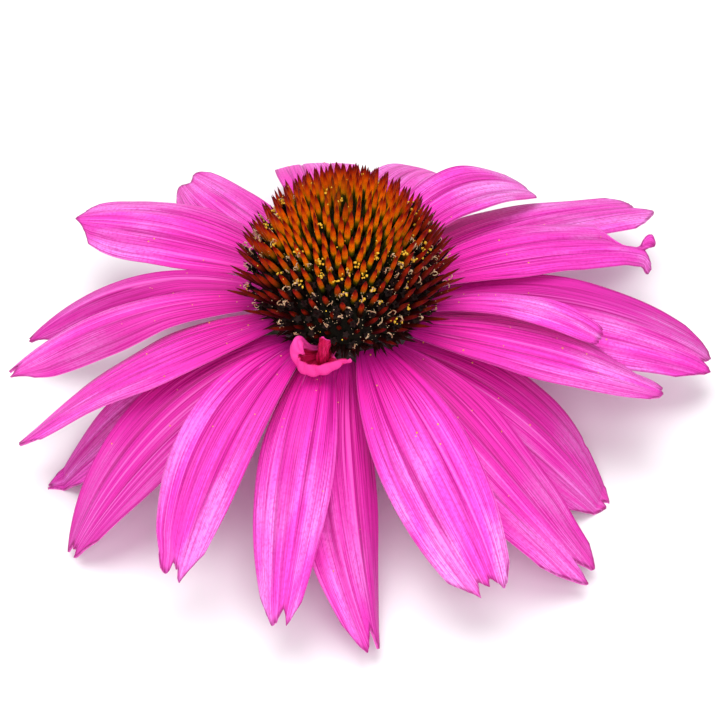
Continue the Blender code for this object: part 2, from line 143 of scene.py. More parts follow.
# Teeth at each ray's tip: how far across, in hundredths of the half width, and what is cut
# away there, in thousandths of the length.
TEETH = {
    1: ((-100, 60), (-70, 36), (-45, 28), (-20, 6), (0, 0), (30, 20), (60, 48), (100, 100)),
    2: ((-100, 50), (-70, 14), (-35, 4), (-5, 22), (20, 6), (45, 10), (100, 70)),
    3: ((-100, 60), (-70, 18), (-45, 4), (-22, 20), (-5, 44), (12, 22), (38, 0), (70, 22),
        (100, 60)),
    4: ((-100, 80), (-60, 30), (-25, 4), (0, 14), (25, 4), (60, 30), (100, 80)),
    5: ((-100, 60), (-70, 20), (-45, 4), (-22, 20), (-5, 30), (12, 0), (38, 20), (70, 80),
        (100, 140)),
    6: ((-100, 45), (-85, 16), (-66, 6), (-50, 22), (-34, 36), (-16, 22), (0, 34), (14, 26),
        (30, 6), (46, 14), (70, 50), (100, 90)),
    7: ((-100, 60), (-82, 30), (-55, 16), (-34, 26), (-18, 52), (-2, 46), (6, 30), (14, 42),
        (24, 12), (42, 0), (66, 34), (100, 90)),
    8: ((-100, 80), (-72, 34), (-42, 4), (-12, 12), (12, 34), (30, 50), (42, 34), (62, 4),
        (78, 20), (100, 70)),
    9: ((-100, 85), (-78, 26), (-52, 2), (-30, 18), (-8, 44), (8, 72), (20, 48), (48, 4), (66, 20),
        (100, 80)),
    10: ((-100, 85), (-72, 44), (-46, 10), (-34, 34), (-24, 54), (-10, 38), (4, 26), (14, 52),
         (30, 36), (58, 6), (78, 20), (100, 60)),
    11: ((-100, 130), (-74, 70), (-48, 34), (-28, 10), (-14, 0), (0, 30), (10, 76), (22, 52),
         (44, 18), (56, 12), (78, 34), (100, 70)),
    12: ((-100, 160), (-70, 90), (-40, 46), (-15, 22), (0, 12), (12, 32), (24, 56), (38, 26),
         (56, 0), (72, 14), (100, 60)),
    13: ((-100, 60), (-70, 20), (-35, 6), (-8, 10), (2, 22), (12, 8), (50, 2), (78, 18),
         (100, 50)),
    14: ((-100, 16), (-80, 4), (-45, 12), (-20, 0), (5, 14), (30, 2), (60, 16), (85, 10),
         (100, 30)),
    15: ((-100, 120), (-80, 62), (-55, 16), (-32, 0), (-12, 8), (2, 36), (14, 14), (34, 2),
         (60, 14), (82, 44), (100, 90)),
    17: ((-100, 130), (-80, 75), (-55, 30), (-35, 4), (-22, 0), (-8, 14), (4, 45), (20, 38),
         (45, 30), (75, 36), (100, 65)),
    18: ((-100, 60), (-70, 18), (-35, 4), (0, 12), (30, 0), (65, 16), (100, 60)),
    19: ((-100, 45), (-85, 10), (-68, 0), (-50, 12), (-34, 32), (-16, 14), (0, 8), (14, 16),
         (32, 34), (50, 12), (70, 0), (86, 12), (100, 50)),
}
PLAIN_TEETH = ((-100, 50), (-84, 12), (-62, 0), (-38, 10), (-10, 40), (0, 46), (12, 38), (38, 8),
               (60, 0), (84, 14), (100, 52))
TEETH_DEPTH = 1.15
# Where a margin strays from the even outline, on side 1 or -1: place along the ray and share of
# the half width. Ray 16 is torn near its tip.
MARGINS = {
    1: {1: ((.08, 1), (.20, 1.10), (.45, 1.12), (.78, 1.16), (.88, 1.12), (1, .80))},
    2: {-1: ((.08, 1), (.20, 1.28), (.50, 1.22), (.75, 1), (1, 1))},
    4: {1: ((.50, 1), (.75, .80), (.92, .70), (1, 1))},
    5: {1: ((.60, 1), (.85, .80), (1, .30))},
    7: {-1: ((.86, 1), (.92, .88), (.96, .98), (1, 1))},
    12: {1: ((.73, 1), (.755, .95), (.765, 1), (1, 1))},
    13: {1: ((.84, 1), (.89, .84), (.94, .96), (1, 1))},
    15: {-1: ((.62, 1), (.86, .92), (1, .80))},
    16: {1: ((0, 1), (.77, 1), (.79, .90), (.806, .62), (.825, .24), (.85, .02), (.90, -.04),
             (.925, .10), (.945, .52), (.97, .90), (1, .84)),
         -1: ((0, 1), (.62, 1), (.78, .86), (.86, .76), (.92, .66), (.945, .68), (.965, .86),
              (.985, .98), (1, .90))},
}
# Margins folded down: side, from and to along the ray, and how far down the margin hangs.
FOLDS = {2: (1, .30, .96, 0.7), 3: (1, .38, .98, 1.1), 13: (1, .60, 1.0, 0.4)}
FOLD_LINE = 0.10  # how far out from the middle a fold begins
# painted shade that a folded margin gets, through the furrow value
FOLD_SHADE = 0.45
# Painted shade on rays that lie under others, where their neighbours' shadow falls: on which side, 0
# for both, and how much.
PAINTED_SHADE = {2: (0, .34), 3: (1, .34), 6: (0, .46), 9: (1, .48), 11: (1, .42), 12: (0, .40),
             15: (1, .62)}
# What is other near the tip: its share of the width, and turns in degrees.
TIP_SHARE = {5: 0.16, 16: 0.70, 18: 0.50}
TIP_TWIST = {14: 12, 1: -14, 11: 10, 16: 34}
TIP_CURL = {16: 22, 15: 10, 4: -10, 12: 12}  # extra droop of the last stretch

# Where the random draws of each piece start.
SEEDS = {"receptacle": 10, "paleae": 11, "floret_buds": 12, "open_florets": 13,
         "floret_styles": 14, "pollen": 15, "bracts_and_stub": 16, "dark_fringe": 17}

# ---- cone, as in the solids
CORE_RADIUS = 9.0
CORE_FOOT = 1.3
CORE_APEX = 12.4
DOME_POWER = 1.75
CONE_SEAT_RADIUS = 7.0
CONE_SEAT = -0.1
CORE_UNDERSIDE = 0.12  # how much of the way up the core's form is its underside
CORE_INSET = 0.985
PALEA_COUNT = 370
PALEA_LENGTH = 4.7
PALEA_SINK = 1.3
PALEA_LOW_ELEVATION = 14
ELEVATION_POWER = 0.45
YOUNG_SHORTER = 0.12
PALEA_STRAY = 0.035
# Up the dome: how spiky a palea is, 1 for a plain spike, and its half width.
PALEA_SHARPNESS = ((0, .62), (.12, .50), (.3, .10), (1, .10))
PALEA_HALF_WIDTH = ((0, .37), (.3, .37), (.5, .345), (.85, .33), (1, .26))
SHORT_SHARE = 0.24  # paleae are short behind the curled ray: up the dome, and degrees to a side
SHORT_SECTOR = 24
SHORT_LENGTH = 0.42
CROWDING = (0.75, 0.30, 0.60)  # how much closer paleae stand above, from and to where
GOLDEN_ANGLE = pi * (3.0 - sqrt(5.0))
FRINGE_COUNT = 280  # every third is low, and the rest over it
FRINGE_LOW_RADII = (7.5, 8.3)
FRINGE_LOW_HEIGHTS = (-0.7, 0.5)
FRINGE_RADIUS = 8.6
FRINGE_HEIGHTS = (0.55, 1.5)
FRINGE_LENGTHS = (0.7, 2.5)
FRINGE_HALF_WIDTHS = (0.12, 0.34)
BUD_LENGTH = 1.9
BUD_SINK = 0.6
FLORET_LENGTH = 2.2
FLORET_MOUTH = 0.70  # how much of a floret's outline is its outside
FLORET_OUTLINE = ((0, 0), (.1, .30), (.45, .32), (.62, .40), (FLORET_MOUTH, .62), (.74, .40),
                  (.80, .26), (1, 0))
LOOSE_GRAINS = 7  # on every ray
SHADED_SIDE = 0.16  # one side of the cone gets painted shade, and so is darker
SHADED_BEARING = 10
OPEN_FLORET_SHARE = 0.40  # the lower florets are open, those above are still buds
POLLEN_RING = (0.28, 0.46)  # where the anthers are freshest, old below and young above
FRESH_CHANCE = 0.42
OLD_CHANCE = 0.30
YOUNG_CHANCE = 0.03

# ---- green base, as in the solids
BASE_RADIUS = 7.4
BASE_TOP = -0.4
BASE_FOOT = -3.9
STALK_TOP = -7.2
STALK_RADIUS = 1.7
STUB_LENGTH = 4.0
STALK_RIBS = 9
STALK_RIB_HEIGHT = 0.05
# Rows of bracts: how many, length, shift round, height and droop.
BRACT_ROWS = ((12, 5.4, 0.0, -3.8, 22), (12, 4.6, 0.5, -4.5, 36), (9, 3.8, 0.2, -5.2, 50))
BRACT_WIDTH = 2.6
BRACT_ROOT_SINK = 1.6

# ---- lights and camera
LIGHTS = (
    # name, place and width in metres, and power
    ("window", (-0.13, 0.06, 0.78), 0.75, 5.9),
    ("fill", (0.10, -0.62, 0.50), 0.60, 3.9),
)
LIGHTS_AIM = (0.0, 0.0, 0.016)
ROOM_LIGHT = 0.43
CAMERA_ELEVATION = 43.0
CAMERA_DISTANCE = 330.0
PIXELS = 720
PIXELS_PER_MM = 9.09  # at the ring's centre
RING_PIXEL = (345.5, 298.0)
SENSOR = 36.0


# ---- places and numbers

def in_frame(points):
    """Millimetres from the ring's centre, as metres in the frame."""
    return (np.asarray(points) + (AXIS_X, AXIS_Y, RING_HEIGHT)) * MM


def between(values, knots):
    """Straight lines from knot to knot."""
    return np.interp(values, [knot[0] for knot in knots], [knot[1] for knot in knots])


def smooth(values, low, high):
    """0 below low, 1 above high, smooth between."""
    share = np.clip((values - low) / (high - low), 0, 1)
    return share * share * (3.0 - 2.0 * share)


def unit(vectors):
    """The same directions, one long."""
    return vectors / np.maximum(np.linalg.norm(vectors, axis=-1, keepdims=True), 1e-12)


def around(radius, bearing, height):
    """What lies at a radius and bearing from the axis, at a height."""
    return np.stack([radius * np.cos(bearing), radius * np.sin(bearing), height], axis=-1)


def tangent(bearing):
    """The way along a circle round the axis."""
    return np.array([-sin(bearing), cos(bearing), 0.0])


def straight(root, way, reach, sink=0.0):
    """A straight path from sink behind a root."""
    return lambda up: root + way * (up * reach - sink)[:, None]


def read(items, key, width=1):
    """One property of every item, in rows of a width."""
    values = np.zeros(len(items) * width)
    items.foreach_get(key, values)
    return values if width == 1 else values.reshape(-1, width)


def write(mesh, label, values, kind="FLOAT", key="value"):
    """Notes a value on every point of a mesh."""
    mesh.attributes.new(label, kind, "POINT").data.foreach_set(key, np.ravel(values))


# ---- finishes

class Wire:
    """A shader socket that takes part in arithmetic."""

    def __init__(self, finish, socket):
        self.finish = finish
        self.socket = socket

    def math(self, operation, *values):
        return self.finish.node("Math", "Value", dict(enumerate((self,) + values)),
                                operation=operation)

    def __add__(self, other):
        return self.math("ADD", other)

    def __sub__(self, other):
        return self.math("SUBTRACT", other)

    def __rsub__(self, other):
        return self.math("MULTIPLY_ADD", -1.0, other)

    def __mul__(self, other):
        return self.math("MULTIPLY", other)

    __radd__ = __add__
    __rmul__ = __mul__

    def size(self):
        """How far from 0."""
        return self.math("ABSOLUTE")

    def step(self, low, high):
        """0 below low, 1 above high, smooth between."""
        return self.finish.node("MapRange", "Result",
                                {"Value": self, "From Min": low, "From Max": high},
                                interpolation_type="SMOOTHSTEP")

    def fall(self, low, high):
        """1 below low, 0 above high, smooth between."""
        return 1 - self.step(low, high)


class Finish:
    """A Principled material, its nodes written as expressions."""

    def __init__(self, name, **constants):
        self.material = bpy.data.materials.new(name)
        self.material.use_nodes = True
        self.tree = self.material.node_tree
        self.shader = self.tree.nodes["Principled BSDF"]
        for socket, value in constants.items():
            self.shader.inputs[socket.replace("_", " ")].default_value = value

    def node(self, kind, output, sockets, **settings):
        """One output of a new node, its settings made before its sockets are filled."""
        made = self.tree.nodes.new("ShaderNode" + kind)
        for setting, value in settings.items():
            setattr(made, setting, value)
        for key, value in sockets.items():
            self.feed(self.socket(made.inputs, key), value)
        return Wire(self, self.socket(made.outputs, output))

    @staticmethod
    def socket(sockets, key):
        """The socket in use with a name, or by number."""
        if isinstance(key, int):
            return sockets[key]
        return next(socket for socket in sockets
                    if socket.enabled and key in (socket.name, socket.identifier))

    def feed(self, socket, value):
        """Links a wire to a socket, or sets the socket."""
        if isinstance(value, Wire):
            self.tree.links.new(value.socket, socket)
        elif isinstance(value, tuple) and len(value) == 3 and socket.type == "RGBA":
            socket.default_value = (*value, 1.0)
        else:
            socket.default_value = value

    def value(self, name):
        """A number that the mesh carries."""
        return self.node("Attribute", "Fac", {}, attribute_name=name)

    def clouds(self, where, scale, detail):
        """Cloudy noise, from 0 to 1."""
        return self.node("TexNoise", "Fac", {"Vector": where, "Scale": scale, "Detail": detail})

    def noise(self, scale, detail=3.0, stretch=(1, 1, 1)):
        """Noise through space, scale in features a millimetre."""
        place = self.node("TexCoord", "Object", {})
        where = self.node("VectorMath", "Vector", {0: place, 1: stretch}, operation="MULTIPLY")
        return self.clouds(where, scale / MM, detail)

    def streaks(self, across, along, lines, run, detail=2.0):
        """Noise drawn out along a blade, other on each ray: lines across it, runs along it."""
        apart = self.value("tone") * STREAKS_APART
        where = self.node("CombineXYZ", "Vector", {0: across * lines, 1: along * run, 2: apart})
        return self.clouds(where, 1.0, detail)

    def mix(self, first, second, share):
        return self.node("Mix", "Result_Color", {"Factor_Float": share, "A_Color": first,
                                                 "B_Color": second}, data_type="RGBA")

    def coats(self, color, *coats):
        """Colours laid over one another, each with the share that it covers."""
        for coat, share in coats:
            color = self.mix(color, coat, share)
        return color

    def bump(self, height, depth):
        """Relief of a depth in millimetres."""
        self.feed(self.shader.inputs["Normal"],
                  self.node("Bump", "Normal", {"Height": height, "Distance": depth * MM,
                                               "Strength": 1.0}))

    def paint(self, color, roughness):
        self.feed(self.shader.inputs["Base Color"], color)
        self.feed(self.shader.inputs["Roughness"], roughness)
        return self.material


def ray_finish(name, deep, middle, pale, sheen, shade, under_side):
    """A soft pink blade: hot at the claw, paler and bluer outwards, with fine long veins, painted
    highlights outwards, and painted shade in its furrows, at its claw and where it lies under
    others.
    """
    finish = Finish(name, Specular_IOR_Level=0.18)
    along = finish.value("along")
    across = finish.value("across")
    # the ray's tone: partly its own, partly painted shade
    hot = finish.value("tone") * 0.85
    blotch = finish.streaks(across, along, 2.2, 2.6)
    band = finish.streaks(across, along, 8.0, 1.5)
    cells = finish.streaks(across, along, 30.0, 80.0, 3.0)
    vein = finish.streaks(across, along, 36.0, 0.9)
    hair = finish.streaks(across, along, 96.0, 3.0)
    line = 1 - (vein - 0.5).size().step(0.01, 0.055)
    outward = along.step(0.02, 0.42)
    margin = ((across - 0.5).size() * 2.0).step(0.93, 1.0)
    tooth = finish.value("tip").step(0.0, 1.0) * (0.55 + vein.step(0.4, 0.6) * 0.45)
    dusk = finish.mix(shade, middle, 0.62)
    color = finish.coats(
        deep,
        (middle, outward),
        (pale, (blotch.step(0.28, 0.62) * 0.4 + 0.6) * along.step(0.16, 0.62)
         * (1 - hot * 0.75)),
        # painted highlight: lilac patches outwards
        (sheen, blotch.step(0.42, 0.62) * along.step(0.30, 0.74) * (1 - hot * 0.8)),
        (deep, hot * along.fall(0.35, 0.85) * 0.32),
        (deep, along.fall(0.04, 0.26) * 0.45),
        # painted shade where a ray lies under its neighbours
        (shade, finish.value("painted_shade")),
        (dusk, band.fall(0.34, 0.56) * (0.52 + hot * 0.15)),
        (dusk, cells.step(0.46, 0.64) * 0.42),
        (dusk, hair.step(0.50, 0.60) * 0.60),
        # painted highlight: light streaks between the veins
        (sheen, vein.fall(0.30, 0.42) * outward * 0.24),
        (shade, line * (0.52 + along.fall(0.15, 0.60) * 0.36)),
        # painted shade in the furrows and on folded margins
        (shade, finish.value("groove") * along.fall(0.60, 0.96) * 0.64),
        (shade, margin * 0.34),
        # darker claws: partly their own colour, partly painted shade from the cone and the rays
        # beside them
        (shade, along.fall(0.0, 0.26) * 0.26),
        (DARK_TOOTH, tooth * 0.85),
        (under_side, finish.value("under") * 0.85))
    finish.bump(vein + hair * 0.5 + cells * 0.3, 0.075)
    return finish.paint(color, 0.44 + cells * 0.14)


def palea_finish():
    """Orange blades with dark red points, olive at the foot and maroon low on the cone, older there
    and with painted shade as well; one side of the cone gets painted shade too.
    """
    black = (0.004, 0.003, 0.001)
    maroon = (0.075, 0.003, 0.003)
    rust = (0.66, 0.070, 0.001)
    ember = (0.42, 0.016, 0.001)
    unripe = (0.14, 0.055, 0.004)
    finish = Finish("palea", Specular_IOR_Level=0.12)
    rise = finish.value("rise")
    tone = finish.value("tone")
    grain = finish.noise(1.4, 2.0, (1, 1, 0.3))
    fine = finish.noise(5.0, 2.0)
    at = finish.value("height") + (grain - 0.5) * 0.08 + (tone - 0.5) * 0.04
    high = (rise + (tone - 0.5) * 0.08).step(0.23, 0.50)
    olive = finish.mix(black, (0.125, 0.125, 0.003), high)
    yellow = finish.mix((0.12, 0.010, 0.002), (0.96, 0.34, 0.002), high)
    orange = finish.mix((0.22, 0.010, 0.002), (0.93, 0.165, 0.001), high)
    point = finish.mix((0.13, 0.004, 0.002), (0.15, 0.002, 0.001), rise.step(0.2, 0.4))
    color = finish.coats(
        black,
        (olive, at.step(0.30, 0.48)),
        (yellow, at.step(0.46, 0.58)),
        (finish.mix(orange, rust, tone * 0.5), at.step(0.56, 0.68)),
        (ember, at.step(0.70, 0.84) * 0.9),
        (point, at.step(0.80, 0.92)),
        # maroon low on the cone: older there, and painted shade
        (maroon, rise.fall(0.10, 0.34) * 0.75),
        (unripe, rise.step(0.72, 0.95) * 0.5),
        (black, fine.step(0.58, 0.74) * 0.3))
    finish.bump(grain + fine * 0.5, 0.06)
    return finish.paint(color, 0.34 + fine * 0.22)


def growth_finish(name, dark, light, scale, depth, roughness):
    """A speckled plant surface that also follows the piece's own height and tone."""
    finish = Finish(name, Specular_IOR_Level=0.15)
    grain = finish.noise(scale)
    fine = finish.noise(scale * 4.0, 2.0)
    share = grain.step(0.35, 0.68) * 0.6 + finish.value("height") * 0.5
    color = finish.coats(dark, (light, share.math("MINIMUM", 1.0)),
                         (dark, finish.value("tone") * 0.4))
    finish.bump(grain + fine * 0.6, depth)
    return finish.paint(color, roughness + fine * 0.15)


def bract_finish():
    """Deep green, paler along the middle, dull purple at the points, with painted shade on the top
    of the base, under the rays.
    """
    green = (0.014, 0.036, 0.008)
    fresh = (0.060, 0.120, 0.025)
    pale = (0.13, 0.19, 0.06)
    purple = (0.10, 0.030, 0.035)
    downy = (0.16, 0.20, 0.09)
    shade_under_rays = (0.020, 0.006, 0.006)
    finish = Finish("bract_green", Sheen_Weight=0.2)
    height = finish.value("height")
    grain = finish.noise(1.3)
    fine = finish.noise(7.0, 2.0)
    color = finish.coats(
        green,
        (fresh, grain.step(0.35, 0.7)),
        (pale, height.fall(0.0, 0.5) * 0.30),
        (purple, height.step(0.80, 1.0) * 0.8),
        (downy, fine.step(0.6, 0.75) * 0.3),
        # painted shade on the top of the base, where the rays cover it
        (shade_under_rays, finish.value("collar")))
    finish.bump(grain * 0.5 + fine, 0.08)
    return finish.paint(color, 0.62 + fine * 0.2)


def floor_finish():
    """A nearly even light grey, without a shine."""
    finish = Finish("floor")
    grain = finish.noise(0.05, 2.0)
    return finish.paint(finish.mix((0.86, 0.86, 0.87), (0.90, 0.90, 0.90), grain), 0.85)


# ---- gathering grown parts

def spindle(sides, rings):
    """A ball's points, as way up, 0 to 1, and way round, and its faces."""
    ball = bmesh.new()
    bmesh.ops.create_uvsphere(ball, u_segments=sides, v_segments=rings, radius=1.0)
    points = np.array([vert.co[:] for vert in ball.verts])
    faces = [[vert.index for vert in face.verts] for face in ball.faces]
    ball.free()
    way_up = 1 - np.arccos(np.clip(points[:, 2], -1.0, 1.0)) / pi
    way_round = np.arctan2(points[:, 1], points[:, 0])
    return way_up, way_round, faces


class Growth:
    """Many small grown bodies."""

    def __init__(self):
        self.points = []
        self.faces = []
        self.values = []
        self.count = 0

    def add(self, points, faces, **values):
        """One more body, with the values that its points carry."""
        self.points.append(points)
        self.faces.extend([[index + self.count for index in face] for face in faces])
        self.values.append({name: np.broadcast_to(value, len(points))
                            for name, value in values.items()})
        self.count += len(points)

    def body(self, form, path, side, wide, deep=None, **values):
        """A form swept along path(way_up), with half widths wide and deep, or wide both ways."""
        way_up, way_round, faces = form
        deep = deep or wide
        nudge = 1e-3
        centre = path(way_up)
        ahead = unit(path(np.minimum(way_up + nudge, 1.0)) - path(np.maximum(way_up - nudge, 0.0)))
        other = unit(np.cross(ahead, np.asarray(side)))
        flank = np.cross(other, ahead)
        out = flank * (np.cos(way_round) * wide(way_up, way_round))[:, None]
        out = out + other * (np.sin(way_round) * deep(way_up, way_round))[:, None]
        self.add(centre + out, faces, height=way_up, **values)


def grow(name, add_bodies, finish, *others, node="disc_cone", slot="disc_cone"):
    """One piece of all the bodies that a function adds, with the random draws they come from."""
    growth = Growth()
    add_bodies(growth, np.random.default_rng(SEEDS[name]), *others)
    mesh = bpy.data.meshes.new(name)
    mesh.from_pydata(in_frame(np.concatenate(growth.points)).tolist(), [], growth.faces)
    for label in growth.values[0]:
        write(mesh, label, np.concatenate([values[label] for values in growth.values]))
    dress(name, mesh, node, finish)


def soften(mesh):
    """Smooth shading, but for its sharp edges."""
    mesh.shade_smooth()
    mesh.set_sharp_from_angle(angle=radians(SHARP_ANGLE))


def link(name, data):
    """A new object in the scene."""
    made = bpy.data.objects.new(name, data)
    bpy.context.scene.collection.objects.link(made)
    return made


def dress(name, mesh, node, finish):
    """Links a finished mesh as a piece that stands for a node of the solids."""
    made = link(name, mesh)
    mesh.materials.append(finish)
    soften(mesh)
    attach(made, "root")
    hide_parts(node)
    return made


# ---- rays

class Blade:
    """The middle surface of one ray."""

    def __init__(self, ray):
        self.ray = ray
        self.phase = np.random.default_rng(RAY_SEED + ray.number).uniform(0.0, 2 * pi, 6)
        share = np.linspace(0, 1, MIDLINE_STEPS + 1)
        curl = TIP_CURL.get(ray.number, 0) * smooth(share, 0.88, 1.0)
        pitch = np.radians(ray.rise + (ray.droop - ray.rise) * share - curl)
        bearing = np.radians(ray.heading + ray.sway * share)
        twist = TIP_TWIST.get(ray.number, 0) * smooth(share, 0.80, 1.0)
        roll = np.radians(ray.root_roll + (ray.tip_roll - ray.root_roll) * share + twist)
        forward = around(np.cos(pitch), bearing, np.sin(pitch))
        side = np.stack([-np.sin(bearing), np.cos(bearing), 0.0 * bearing], axis=1)
        up = np.cross(forward, side)
        turn = np.cos(roll)[:, None]
        lean = np.sin(roll)[:, None]
        steps = (forward[1:] + forward[:-1]) / 2 * (ray.length / MIDLINE_STEPS)
        root = around(ROOT_RADIUS, radians(ray.root), CLAW_LEVEL[ray.level])
        self.share = share
        self.middle = root + np.vstack([np.zeros(3), np.cumsum(steps, axis=0)])
        self.side = side * turn + up * lean
        self.up = up * turn - side * lean

    def along(self, values, place):
        """The midline's values at places along it."""
        return np.stack([np.interp(place, self.share, values[:, axis]) for axis in range(3)],
                        axis=-1)

    def cut(self, across):
        """The share of the length that the teeth leave off, slightly frayed."""
        teeth = np.array(TEETH.get(self.ray.number, PLAIN_TEETH)) / (100.0, 1000.0)
        cut = between(across, teeth) * TEETH_DEPTH
        fray = np.sin(across * 21.0 + self.phase[0]) * np.sin(across * 9.0 + self.phase[1])
        return np.clip(cut + FRAY + FRAY * fray, 0, 1)

    def half_width(self, place, across):
        """Half the width, swelling from the claw to the widest place and narrowing to the tip."""
        ray = self.ray
        tip = TIP_SHARE.get(ray.number, ray.tip)
        swell = np.sin(np.clip(place / ray.widest, 0, 1) * pi / 2) ** 0.9
        past = np.clip((place - ray.widest) / (1 - ray.widest), 0, 1)
        factor = np.where(place < ray.widest, CLAW_SHARE + (1 - CLAW_SHARE) * swell,
                          1 - (1 - tip) * past ** 2.2)
        for hand, knots in MARGINS.get(ray.number, {}).items():
            factor = factor * np.where(across * hand > 0.0, between(place, knots), 1.0)
        return factor * ray.width / 2

    def groove(self, place, across):
        """How deep in a furrow a point lies, 0 to 1."""
        depth = np.zeros_like(across)
        for number, middle in enumerate(GROOVES):
            drift = middle + GROOVE_DRIFT * np.sin(place * 2.2 + self.phase[2 + number])
            depth = depth + np.exp(-((across - drift) / GROOVE_WIDTH) ** 2)
        return depth * smooth(place, 0.03, 0.16) * (1 - smooth(place, 0.70, 0.96))

    def points(self, share, across):
        """The surface, its upward direction, and the furrow depth, to which a folded margin adds
        painted shade.
        """
        ray = self.ray
        place = share * (1 - self.cut(across))
        half = self.half_width(place, across)
        out = across * half * (1 - 0.1 * abs(ray.cup) * across ** 2)
        rise = -ray.cup * half * across ** 2
        furrow = self.groove(place, across)
        rise = rise - GROOVE_DEPTH * furrow
        body = smooth(place, 0.05, 0.25) * (1 - smooth(place, 0.85, 1.0))
        rise = rise + FINE_RIB_HEIGHT * np.cos(across * pi * FINE_RIBS + self.phase[4]) * body
        wave = np.sin(place * 9.0 + self.phase[5]) * across ** 3
        wave = wave + 0.6 * np.sin(place * 17.0 + self.phase[4]) * np.abs(across) ** 5
        rise = rise + MARGIN_WAVE * wave * smooth(place, 0.2, 0.5)
        if ray.number in FOLDS:
            hand, start, end, drop = FOLDS[ray.number]
            folded = smooth(across * hand, FOLD_LINE, 0.50) * smooth(place, start, start + 0.25)
            folded = folded * (1 - smooth(place, end - 0.12, end))
            rise = rise - drop * folded * np.clip(across * hand - FOLD_LINE, 0, 1)
            # a folded margin gets painted shade
            furrow = furrow + FOLD_SHADE * folded
        up = self.along(self.up, place)
        points = self.along(self.middle, place) + self.along(self.side, place) * out[:, None]
        points = points + up * rise[:, None]
        if ray.number in SUPPORTING_RAYS:
            points[:, 2] = np.maximum(points[:, 2], BLADE_THICKNESS / 2 - RING_HEIGHT)
        return points, up, furrow


def ray_piece(ray, finish):
    """One ray, thin at its margins, with what its finish follows noted on its points."""
    blade = Blade(ray)
    name = f"ray_{ray.number:02d}"
    grid = bmesh.new()
    bmesh.ops.create_grid(grid, x_segments=BLADE_STEPS_ALONG, y_segments=BLADE_STEPS_ACROSS,
                          size=1.0)
    flat = np.array([vert.co[:] for vert in grid.verts])
    mesh = bpy.data.meshes.new(name)
    grid.to_mesh(mesh)
    grid.free()
    share = (flat[:, 0] + 1.0) / 2
    across = flat[:, 1]
    points, up, furrow = blade.points(share, across)
    mesh.vertices.foreach_set("co", in_frame(points).ravel())
    hand, depth = PAINTED_SHADE.get(ray.number, (0, 0))
    write(mesh, "along", share * (1 - blade.cut(across)))
    write(mesh, "across", (across + 1.0) / 2)
    write(mesh, "groove", furrow)
    write(mesh, "tip", 1 - np.clip((1 - share) * ray.length / DARK_TIP, 0, 1))
    # painted shade where the ray lies under its neighbours, on one side or all over
    write(mesh, "painted_shade",
          depth * (smooth(across * hand, -0.3, 0.7) if hand else np.ones_like(across)))
    write(mesh, "tone", np.full_like(across, HEAT_AND_SHADE[ray.number]))
    write(mesh, "up", up, "FLOAT_VECTOR", "vector")
    made = dress(name, mesh, f"ray_petal_{ray.number:02d}", finish)
    body = made.vertex_groups.new(name="body")
    for index, weight in enumerate(1 - np.abs(across) ** 4):
        body.add([index], float(weight), "REPLACE")
    thicken(made, "body")
    return blade


def curled_ray_piece(finish):
    """The stunted ray, smoothed from its two cages into folded, wrinkled lobes."""
    cage = bmesh.new()
    names = ("along", "across", "groove", "tone", "tip")
    labels = [cage.verts.layers.float.new(name) for name in names]
    for sheet in (CURLED_BOWL, CURLED_LOBE):
        rows = []
        for step, row in enumerate(sheet):
            rows.append([cage.verts.new(in_frame(np.array(point) / 10.0)) for point in row])
            for column, vert in enumerate(rows[-1]):
                groove = CURLED_GROOVE if column in CURLED_GROOVE_COLUMNS else 0.0
                values = (step / (len(sheet) - 1), column / (len(row) - 1), groove, CURLED_TONE,
                          0.0)
                for label, value in zip(labels, values):
                    vert[label] = value
        for lower, upper in zip(rows, rows[1:]):
            for column in range(len(lower) - 1):
                corners = (lower[column], lower[column + 1], upper[column + 1], upper[column])
                cage.faces.new(corners if sheet is CURLED_BOWL else corners[::-1])
    mesh = bpy.data.meshes.new("curled_ray")
    cage.to_mesh(mesh)
    cage.free()
    made = dress("curled_ray", mesh, "curled_ray_petal", finish)
    smoothing = made.modifiers.new("smooth", "SUBSURF")
    smoothing.levels = smoothing.render_levels = CURLED_SMOOTHING
    bake_modifiers(made)
    mesh = made.data
    up = read(mesh.vertices, "normal", 3)
    along = read(mesh.attributes["along"].data, "value")
    across = read(mesh.attributes["across"].data, "value")
    wrinkle = np.sin(across * 46.0 + 2.0 * np.sin(along * 7.0))
    wrinkle = wrinkle + 0.7 * np.sin(across * 23.0 + along * 11.0)
    place = read(mesh.vertices, "co", 3) + up * (wrinkle * CURLED_WRINKLE * MM)[:, None]
    mesh.vertices.foreach_set("co", place.ravel())
    write(mesh, "up", -up, "FLOAT_VECTOR", "vector")
    thicken(made)


def thicken(made, body=""):
    """Gives a blade its two sides, close together where its group says it is margin."""
    thick = made.modifiers.new("blade", "SOLIDIFY")
    thick.thickness = BLADE_THICKNESS * MM
    thick.offset = 0.0
    thick.vertex_group = body
    thick.thickness_vertex_group = MARGIN_THICKNESS_SHARE
    bake_modifiers(made)
    mark_underside(made.data)
    soften(made.data)


def bake_modifiers(made):
    """Replaces an object's mesh by what its modifiers make of it."""
    graph = bpy.context.evaluated_depsgraph_get()
    graph.update()
    mesh = bpy.data.meshes.new_from_object(made.evaluated_get(graph), depsgraph=graph,
                                           preserve_all_data_layers=True)
    made.modifiers.clear()
    made.data = mesh


def mark_underside(mesh):
    """Notes on each point whether it faces down, away from the blade's upper side."""
    up = read(mesh.attributes["up"].data, "vector", 3)
    facing = (read(mesh.vertices, "normal", 3) * up).sum(axis=1)
    write(mesh, "under", np.clip(0.5 - facing * 2.0, 0, 1))
    mesh.attributes.remove(mesh.attributes["up"])


# ---- disc cone

